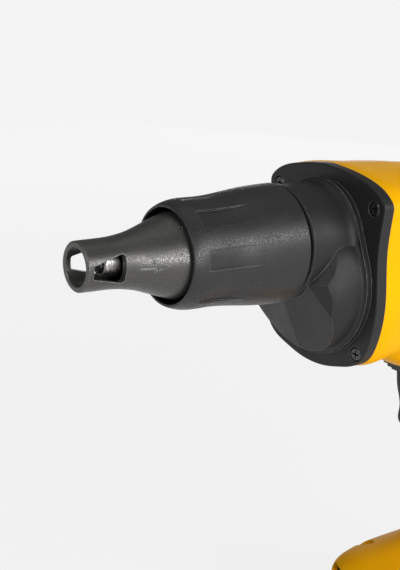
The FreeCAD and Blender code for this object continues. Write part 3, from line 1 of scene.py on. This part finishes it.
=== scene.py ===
# %% [markdown]
# # Dressing a cordless drywall screwdriver
# The shapes of this tool were made in a CAD program, as separate parts that sit in one shared frame. Here
# they are loaded once and never moved. What Blender adds is the finish of every surface, some small moulded
# detail, and a studio with a camera that stands where the photographer stood.

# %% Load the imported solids
import math

import bmesh
import bpy
from mathutils import Matrix, Vector


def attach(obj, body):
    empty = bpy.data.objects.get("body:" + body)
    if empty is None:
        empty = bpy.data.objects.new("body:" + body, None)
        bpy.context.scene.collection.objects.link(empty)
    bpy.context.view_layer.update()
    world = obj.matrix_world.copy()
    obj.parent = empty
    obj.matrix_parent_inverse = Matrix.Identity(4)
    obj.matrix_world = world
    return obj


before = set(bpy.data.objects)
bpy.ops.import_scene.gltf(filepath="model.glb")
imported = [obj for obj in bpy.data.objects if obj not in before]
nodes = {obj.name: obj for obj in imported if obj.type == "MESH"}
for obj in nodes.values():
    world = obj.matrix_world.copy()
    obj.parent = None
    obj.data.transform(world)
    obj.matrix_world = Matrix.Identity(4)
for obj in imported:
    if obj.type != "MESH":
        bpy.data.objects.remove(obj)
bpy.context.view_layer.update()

MM = 0.001

# %% [markdown]
# ## The camera
# A camera is fixed by a place, a direction, a roll and a lens. The round edges of the nose and the collar
# give all of them: each circle is seen as an ellipse, and its tilt tells how far off the spindle axis the
# photographer stood. The picture is taller than wide, so the sensor's 36 mm lie along its height.

# %% Place the camera
IMAGE_HEIGHT_PIXELS = 570
FOCAL_PIXELS = 1200
SENSOR = 36.0
CAMERA_PLACE = Vector((427.48, 366.58, 344.77)) * MM
AZIMUTH = math.radians(143.49)
ELEVATION = math.radians(15.49)
ROLL = math.radians(3.05)

towards_camera = Vector((math.sin(AZIMUTH) * math.cos(ELEVATION),
                         -math.cos(AZIMUTH) * math.cos(ELEVATION), math.sin(ELEVATION)))
level_right = Vector((math.cos(AZIMUTH), math.sin(AZIMUTH), 0))
level_up = towards_camera.cross(level_right)
right = math.cos(ROLL) * level_right + math.sin(ROLL) * level_up
up = math.cos(ROLL) * level_up - math.sin(ROLL) * level_right

camera_data = bpy.data.cameras.new("photo_camera")
camera_data.sensor_width = SENSOR
camera_data.lens = SENSOR * FOCAL_PIXELS / IMAGE_HEIGHT_PIXELS
camera = bpy.data.objects.new("photo_camera", camera_data)
bpy.context.scene.collection.objects.link(camera)
turned = Matrix((right, up, towards_camera)).transposed().to_4x4()
camera.matrix_world = Matrix.Translation(CAMERA_PLACE) @ turned
bpy.context.scene.camera = camera
print("lens", round(camera_data.lens, 1), "mm")

# %% [markdown]
# ## Nodes by name
# A material is a small graph of nodes. This helper adds one node, gives it its settings, and either sets
# each input to a number or links it to another node's output, so that a finish reads like a recipe.

# %% A helper that adds one shader node
def add_node(tree, kind, inputs=None, **settings):
    node = tree.nodes.new("ShaderNode" + kind)
    for name, value in settings.items():
        setattr(node, name, value)
    for name, value in (inputs or {}).items():
        if isinstance(value, bpy.types.NodeSocket):
            tree.links.new(value, node.inputs[name])
        else:
            node.inputs[name].default_value = value
    return node


def grey(level):
    return (level, level, level, 1.0)


# %% [markdown]
# ## Floor, background and light
# The tool was photographed in front of an even pale sheet. The floor is a wide disc. Most of what the camera
# sees of it is its own pale grey as glow, so the sheet stays even, and the rest is ordinary matt white. The
# matt share is larger under the tool, where it catches the soft shadow, and fades with the distance from it.
# Mirrors and lenses see the same glow.

# %% Make the floor
FLOOR_RADIUS = 40.0
SHEET_GREY = 0.888
GLOW_GREY = 0.93
MATT_GREY = 0.9
NEAR_SHARE, FAR_SHARE = 0.88, 0.96
NEAR_REACH, FAR_REACH = 0.3, 1.3


def plain_material(name):
    material = bpy.data.materials.new(name)
    material.use_nodes = True
    material.node_tree.nodes.clear()
    return material, material.node_tree


def seen_rays(tree):
    path = add_node(tree, "LightPath").outputs
    seen = add_node(tree, "Math", {0: path["Is Camera Ray"], 1: path["Is Glossy Ray"]}, operation="ADD")
    seen = add_node(tree, "Math", {0: seen.outputs[0], 1: path["Is Transmission Ray"]}, operation="ADD")
    seen.use_clamp = True
    return seen.outputs[0]


def sheet_material():
    material, tree = plain_material("studio_sheet")
    matt = add_node(tree, "BsdfDiffuse", {"Color": grey(MATT_GREY)})
    glow = add_node(tree, "Emission", {"Color": grey(GLOW_GREY), "Strength": 1.0})
    place = add_node(tree, "TexCoord").outputs["Object"]
    reach = add_node(tree, "VectorMath", {0: place}, operation="LENGTH").outputs["Value"]
    limits = {"Value": reach, "From Min": NEAR_REACH, "From Max": FAR_REACH, "To Min": NEAR_SHARE,
              "To Max": FAR_SHARE}
    faded = add_node(tree, "MapRange", limits).outputs[0]
    share = add_node(tree, "Math", {0: seen_rays(tree), 1: faded}, operation="MULTIPLY")
    mixed = add_node(tree, "MixShader", {0: share.outputs[0], 1: matt.outputs[0], 2: glow.outputs[0]})
    add_node(tree, "OutputMaterial", {"Surface": mixed.outputs[0]})
    return material


floor_bm = bmesh.new()
bmesh.ops.create_circle(floor_bm, cap_ends=True, segments=96, radius=FLOOR_RADIUS)
floor_mesh = bpy.data.meshes.new("studio_floor")
floor_bm.to_mesh(floor_mesh)
floor_bm.free()
floor_mesh.materials.append(sheet_material())
floor = bpy.data.objects.new("studio_floor", floor_mesh)
bpy.context.scene.collection.objects.link(floor)
print("floor radius", FLOOR_RADIUS, "m")

# %% Make the world light
AMBIENT = 0.18


def studio_world():
    world = bpy.data.worlds.new("studio_world")
    world.use_nodes = True
    tree = world.node_tree
    tree.nodes.clear()
    seen = add_node(tree, "LightPath").outputs["Is Camera Ray"]
    soft = add_node(tree, "Background", {"Color": grey(AMBIENT), "Strength": 1.0})
    sheet = add_node(tree, "Background", {"Color": grey(SHEET_GREY), "Strength": 1.0})
    mixed = add_node(tree, "MixShader", {0: seen, 1: soft.outputs[0], 2: sheet.outputs[0]})
    add_node(tree, "OutputWorld", {"Surface": mixed.outputs[0]})
    return world


scene = bpy.context.scene
scene.world = studio_world()
scene.view_settings.view_transform = "Standard"
print("ambient", AMBIENT)

# %% [markdown]
# ## Soft boxes
# A round black part shows its light as a band. On the collar and the boss the band lies about 20 degrees
# above level, so mirroring the line of sight there points to the main light: a wide soft box on the tool's
# left, a quarter of the way up. The flare of the nose looks further forward and mirrors a lower box there.
# The slanted facet of the chin mirrors a box over the front. A wide weak one overhead lights the top of the
# housing, and a low one lights the back.

# %% Hang the soft boxes
TARGET = Vector((118, 0, 222)) * MM


def soft_box(name, direction, distance, width, height, power):
    data = bpy.data.lights.new(name, "AREA")
    data.shape = "RECTANGLE"
    data.size = width
    data.size_y = height
    data.energy = power
    lamp = bpy.data.objects.new(name, data)
    way = Vector(direction).normalized()
    lamp.location = TARGET + way * distance
    lamp.rotation_euler = way.to_track_quat("Z", "Y").to_euler()
    scene.collection.objects.link(lamp)
    return lamp


BOXES = [
    soft_box("key_box", (-0.36, 0.86, 0.38), 1.5, 1.4, 0.36, 14.5),
    soft_box("side_box", (0.09, 0.99, 0.12), 1.5, 0.5, 0.36, 9.5),
    soft_box("front_box", (0.8, 0.2, 0.5), 1.7, 0.6, 0.6, 7.0),
    soft_box("top_box", (-0.1, -0.1, 1.0), 1.6, 1.2, 1.2, 2.5),
    soft_box("back_box", (-0.75, -0.65, 0.05), 1.9, 1.2, 0.5, 4.0),
]
print("soft boxes", [box.name for box in BOXES])

# %% [markdown]
# ## A moulded plastic
# Tool plastic is never one flat colour. The mould leaves a fine grain that breaks up highlights, and the
# colour drifts a little over a hand's width. Edges are painted paler, hollow ones too: partly wear, partly a
# painted highlight for the light that a rounded edge catches. The grain is noise read in object coordinates,
# so it stays on the part. The Bevel node looks at the faces next to an edge and rounds the shading there,
# which also tells where the edges are.

# %% Helpers that all finishes share
def object_noise(tree, scale, detail=2.0, stretch=(1, 1, 1)):
    place = add_node(tree, "TexCoord").outputs["Object"]
    spread = add_node(tree, "Mapping", {"Vector": place, "Scale": stretch}).outputs[0]
    noise = add_node(tree, "TexNoise", {"Vector": spread, "Scale": scale, "Detail": detail})
    return noise.outputs["Fac"]


def fitted(tree, value, low, high, to_low, to_high):
    limits = {"Value": value, "From Min": low, "From Max": high, "To Min": to_low, "To Max": to_high}
    return add_node(tree, "MapRange", limits).outputs[0]


def ramp(tree, value, stops):
    node = add_node(tree, "ValToRGB", {"Fac": value})
    elements = node.color_ramp.elements
    while len(elements) < len(stops):
        elements.new(0.5)
    for element, (position, colour) in zip(elements, stops):
        element.position = position
        element.color = (*colour, 1.0)
    return node.outputs[0]


def blend_colours(tree, share, first, second):
    node = add_node(tree, "Mix", data_type="RGBA")
    for index, value in ((0, share), (6, first), (7, second)):
        if isinstance(value, bpy.types.NodeSocket):
            tree.links.new(value, node.inputs[index])
        else:
            node.inputs[index].default_value = value if index == 0 else (*value, 1.0)
    return node.outputs[2]


def shaded(colour, factor):
    return tuple(min(1.0, channel * factor) for channel in colour)


EDGE_START, EDGE_FULL = 0.97, 0.8


def edge_share(tree, radius):
    rounded = add_node(tree, "Bevel", {"Radius": radius}, samples=6).outputs[0]
    flat = add_node(tree, "NewGeometry").outputs["Normal"]
    along = add_node(tree, "VectorMath", {0: rounded, 1: flat}, operation="DOT_PRODUCT").outputs["Value"]
    return rounded, fitted(tree, along, EDGE_START, EDGE_FULL, 0.0, 1.0)


# %% The moulded plastic itself
DRIFT_SCALE = 25.0
SHEEN_SCALE = 90.0
PATCHY_EDGE_SCALE = 400.0


def moulded_plastic(name, colour, roughness, grain=0.5 * MM, depth=0.03 * MM, sparkle=0.0, gloss=0.4,
                    glitter=0.03, edge_wear_and_highlight=0.25, edge_wear_and_highlight_colour=None, edge=0.45 * MM, flakes=0.0):
    material, tree = plain_material(name)
    drift = object_noise(tree, DRIFT_SCALE)
    base = ramp(tree, drift, [(0.3, shaded(colour, 0.93)), (0.7, shaded(colour, 1.05))])
    dots = object_noise(tree, 0.8 / grain, detail=1.0)
    if sparkle:
        bright = fitted(tree, dots, 0.52, 0.72, 0.0, sparkle)
        base = blend_colours(tree, bright, base, shaded(colour, 7.0))
    # Edges, hollow ones too, are painted paler here: partly wear, partly a painted highlight for the light a
    # rounded edge catches. Noise makes this mark patchy.
    rounded, edges = edge_share(tree, edge)
    patchy_edge = fitted(tree, object_noise(tree, PATCHY_EDGE_SCALE), 0.35, 0.65, 0.4 * edge_wear_and_highlight, edge_wear_and_highlight)
    edge_wear_and_highlight_share = add_node(tree, "Math", {0: edges, 1: patchy_edge}, operation="MULTIPLY").outputs[0]
    base = blend_colours(tree, edge_wear_and_highlight_share, base, edge_wear_and_highlight_colour or shaded(colour, 2.2))
    broad = fitted(tree, object_noise(tree, SHEEN_SCALE), 0.3, 0.7, roughness - 0.04, roughness + 0.05)
    fine = fitted(tree, dots, 0.3, 0.7, glitter, -glitter)
    sheen = add_node(tree, "Math", {0: broad, 1: fine}, operation="ADD").outputs[0]
    relief = add_node(tree, "Bump", {"Strength": 1.0, "Distance": depth, "Height": dots, "Normal": rounded})
    shader = add_node(tree, "BsdfPrincipled", {"Base Color": base, "Roughness": sheen,
                                               "Normal": relief.outputs[0], "Specular IOR Level": gloss,
                                               "Metallic": flakes})
    add_node(tree, "OutputMaterial", {"Surface": shader.outputs[0]})
    return material


# %% [markdown]
# ## The plastics of this tool
# The housing is smooth bright yellow. The collar, the gear case and the nose come from three black resins:
# the case is the dullest, the collar has a sparkling spark-eroded grain, and the nose, which takes the wear,
# is filled with mineral flakes that make it grey and give it a share of a metal's shine.

# %% Plastic finishes
YELLOW = (0.86, 0.41, 0.0)
# Pale grey painted on the edges of the black case and collar: partly wear, partly a painted edge highlight.
EDGE_GREY = (0.3, 0.3, 0.3)
FINISHES = {
    "yellow_plastic": moulded_plastic("yellow_plastic", YELLOW, 0.46, grain=0.6 * MM, depth=0.004 * MM,
                                      gloss=0.06, edge_wear_and_highlight=0.1),
    "black_plastic": moulded_plastic("black_plastic", (0.015, 0.015, 0.016), 0.46, depth=0.04 * MM),
    "case_plastic": moulded_plastic("case_plastic", (0.014, 0.014, 0.0145), 0.48, sparkle=0.03,
                                    depth=0.05 * MM, gloss=0.3, edge_wear_and_highlight=0.9, edge_wear_and_highlight_colour=EDGE_GREY),
    "pack_plastic": moulded_plastic("pack_plastic", (0.012, 0.012, 0.013), 0.45, depth=0.04 * MM),
    "insulator_plastic": moulded_plastic("insulator_plastic", (0.62, 0.58, 0.48), 0.5),
    "grip_rubber": moulded_plastic("grip_rubber", (0.014, 0.014, 0.015), 0.7, grain=0.8 * MM,
                                   depth=0.08 * MM),
    "seal_rubber": moulded_plastic("seal_rubber", (0.012, 0.012, 0.012), 0.66),
    "lead_sheath": moulded_plastic("lead_sheath", (0.32, 0.02, 0.015), 0.4),
    "cell_wrap": moulded_plastic("cell_wrap", (0.05, 0.19, 0.31), 0.3, depth=0.004 * MM),
    "board": moulded_plastic("board", (0.012, 0.09, 0.03), 0.35, depth=0.01 * MM),
}
COLLAR_FINISH = moulded_plastic("collar_plastic", (0.014, 0.014, 0.0145), 0.44, grain=0.6 * MM,
                                depth=0.05 * MM, sparkle=0.05, gloss=0.46, glitter=0.12, edge_wear_and_highlight=0.5,
                                edge_wear_and_highlight_colour=EDGE_GREY)
# The nose's rims and edges are painted a pale grey: partly wear, partly a painted edge highlight.
NOSE_FINISH = moulded_plastic("flaked_plastic", (0.06, 0.0585, 0.0555), 0.38, grain=0.42 * MM,
                              depth=0.04 * MM, sparkle=0.1, gloss=1.0, glitter=0.14, edge_wear_and_highlight=1.0, flakes=0.6,
                              edge_wear_and_highlight_colour=(0.5, 0.5, 0.49))
print("plastic finishes", len(FINISHES) + 2)

# %% [markdown]
# ## Metals
# A machined part carries fine lines from the tool that cut it, and rolled or plated metal has a soft mottle.
# Both change how rough the metal is much more than its colour, so noise stretched along one axis drives the
# roughness and a very small bump.

# %% Metal finishes
def metal(name, colour, roughness, lines=(1, 1, 1), scale=600.0, depth=0.004 * MM, tarnish=0.85):
    material, tree = plain_material(name)
    cut = object_noise(tree, scale, detail=3.0, stretch=lines)
    mottle = object_noise(tree, 60.0)
    base = ramp(tree, mottle, [(0.3, shaded(colour, tarnish)), (0.7, shaded(colour, 1.04))])
    rounded, edges = edge_share(tree, 0.25 * MM)
    # Edges, hollow ones too, are painted up to 1.5 times lighter: a painted highlight for the glint of a
    # rounded edge.
    bright = fitted(tree, edges, 0.0, 1.0, 0.0, 0.3)
    base = blend_colours(tree, bright, base, shaded(colour, 1.5))
    sheen = fitted(tree, cut, 0.3, 0.7, roughness - 0.08, roughness + 0.1)
    relief = add_node(tree, "Bump", {"Strength": 1.0, "Distance": depth, "Height": cut, "Normal": rounded})
    shader = add_node(tree, "BsdfPrincipled", {"Base Color": base, "Metallic": 1.0, "Roughness": sheen,
                                               "Normal": relief.outputs[0]})
    add_node(tree, "OutputMaterial", {"Surface": shader.outputs[0]})
    return material


TURNED = (12, 1, 1)
STACKED = (40, 1, 1)
WOUND = (1, 30, 30)
FINISHES.update({
    "steel": metal("steel", (0.5, 0.49, 0.47), 0.32, lines=TURNED),
    "dark_steel": metal("dark_steel", (0.1, 0.1, 0.104), 0.3),
    "lamination_steel": metal("lamination_steel", (0.34, 0.34, 0.36), 0.42, lines=STACKED, depth=0.02 * MM),
    "bronze": metal("bronze", (0.52, 0.33, 0.15), 0.42, scale=1800.0, depth=0.01 * MM),
    "copper": metal("copper", (0.72, 0.27, 0.12), 0.3, lines=WOUND, depth=0.05 * MM),
    "contact_metal": metal("contact_metal", (0.72, 0.7, 0.66), 0.24),
    "aluminium": metal("aluminium", (0.71, 0.72, 0.73), 0.38),
    "magnet": metal("magnet", (0.3, 0.3, 0.31), 0.34),
})
print("all finishes", len(FINISHES) + 2)

# %% [markdown]
# ## Each part gets its finish
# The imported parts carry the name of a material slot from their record. Assigning by that name keeps parts
# that come from one mould or one bar alike. The nose and the collar then get the grain of their own resins.

# %% Assign the finishes
OWN_FINISH = {"nose_cone": NOSE_FINISH, "depth_collar": COLLAR_FINISH}
dressed = 0
for name, node in nodes.items():
    for slot in node.material_slots:
        label = slot.material.name.split(".")[0]
        slot.material = OWN_FINISH.get(name, FINISHES[label])
        dressed += 1
print("dressed", dressed, "of", len(nodes))

# %% [markdown]
# ## Ribs on the grip
# The soft grip is moulded over the back of the handle, and low cross ribs stop the hand from slipping. They
# follow the handle's curve, so they are made from the grip's own surface: a copy of both halves is merged,
# cut by level planes, and only strips that look backwards are kept. A Solidify modifier then raises them.

# %% Raise the ribs
RIB_COUNT = 9
RIB_PITCH = 7.0 * MM
RIB_WIDTH = 3.6 * MM
RIB_HEIGHT = 0.7 * MM
RIB_FIRST = 88.0 * MM
BACKWARD_LIMIT = -0.3


def finished_piece(name, bm, material, body):
    bmesh.ops.remove_doubles(bm, verts=bm.verts, dist=0.001 * MM)
    mesh = bpy.data.meshes.new(name)
    bm.to_mesh(mesh)
    bm.free()
    mesh.materials.append(material)
    piece = bpy.data.objects.new(name, mesh)
    scene.collection.objects.link(piece)
    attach(piece, body)
    return piece


def rib_strips():
    bm = bmesh.new()
    for name in ("grip_left", "grip_right"):
        bm.from_mesh(nodes[name].data)
    bmesh.ops.remove_doubles(bm, verts=bm.verts, dist=0.01 * MM)
    spans = [(RIB_FIRST + k * RIB_PITCH, RIB_FIRST + k * RIB_PITCH + RIB_WIDTH) for k in range(RIB_COUNT)]
    for span in spans:
        for level in span:
            everything = bm.verts[:] + bm.edges[:] + bm.faces[:]
            bmesh.ops.bisect_plane(bm, geom=everything, plane_co=(0, 0, level), plane_no=(0, 0, 1))
    spare = []
    for face in bm.faces:
        height = face.calc_center_median().z
        inside = any(bottom < height < top for bottom, top in spans)
        if not inside or face.normal.x > BACKWARD_LIMIT:
            spare.append(face)
    bmesh.ops.delete(bm, geom=spare, context="FACES")
    return bm


grip_ribs = finished_piece("grip_ribs", rib_strips(), FINISHES["grip_rubber"], "tool_body")
raised = grip_ribs.modifiers.new("raised", "SOLIDIFY")
raised.thickness = RIB_HEIGHT
raised.offset = 1.0
print("rib faces", len(grip_ribs.data.polygons))
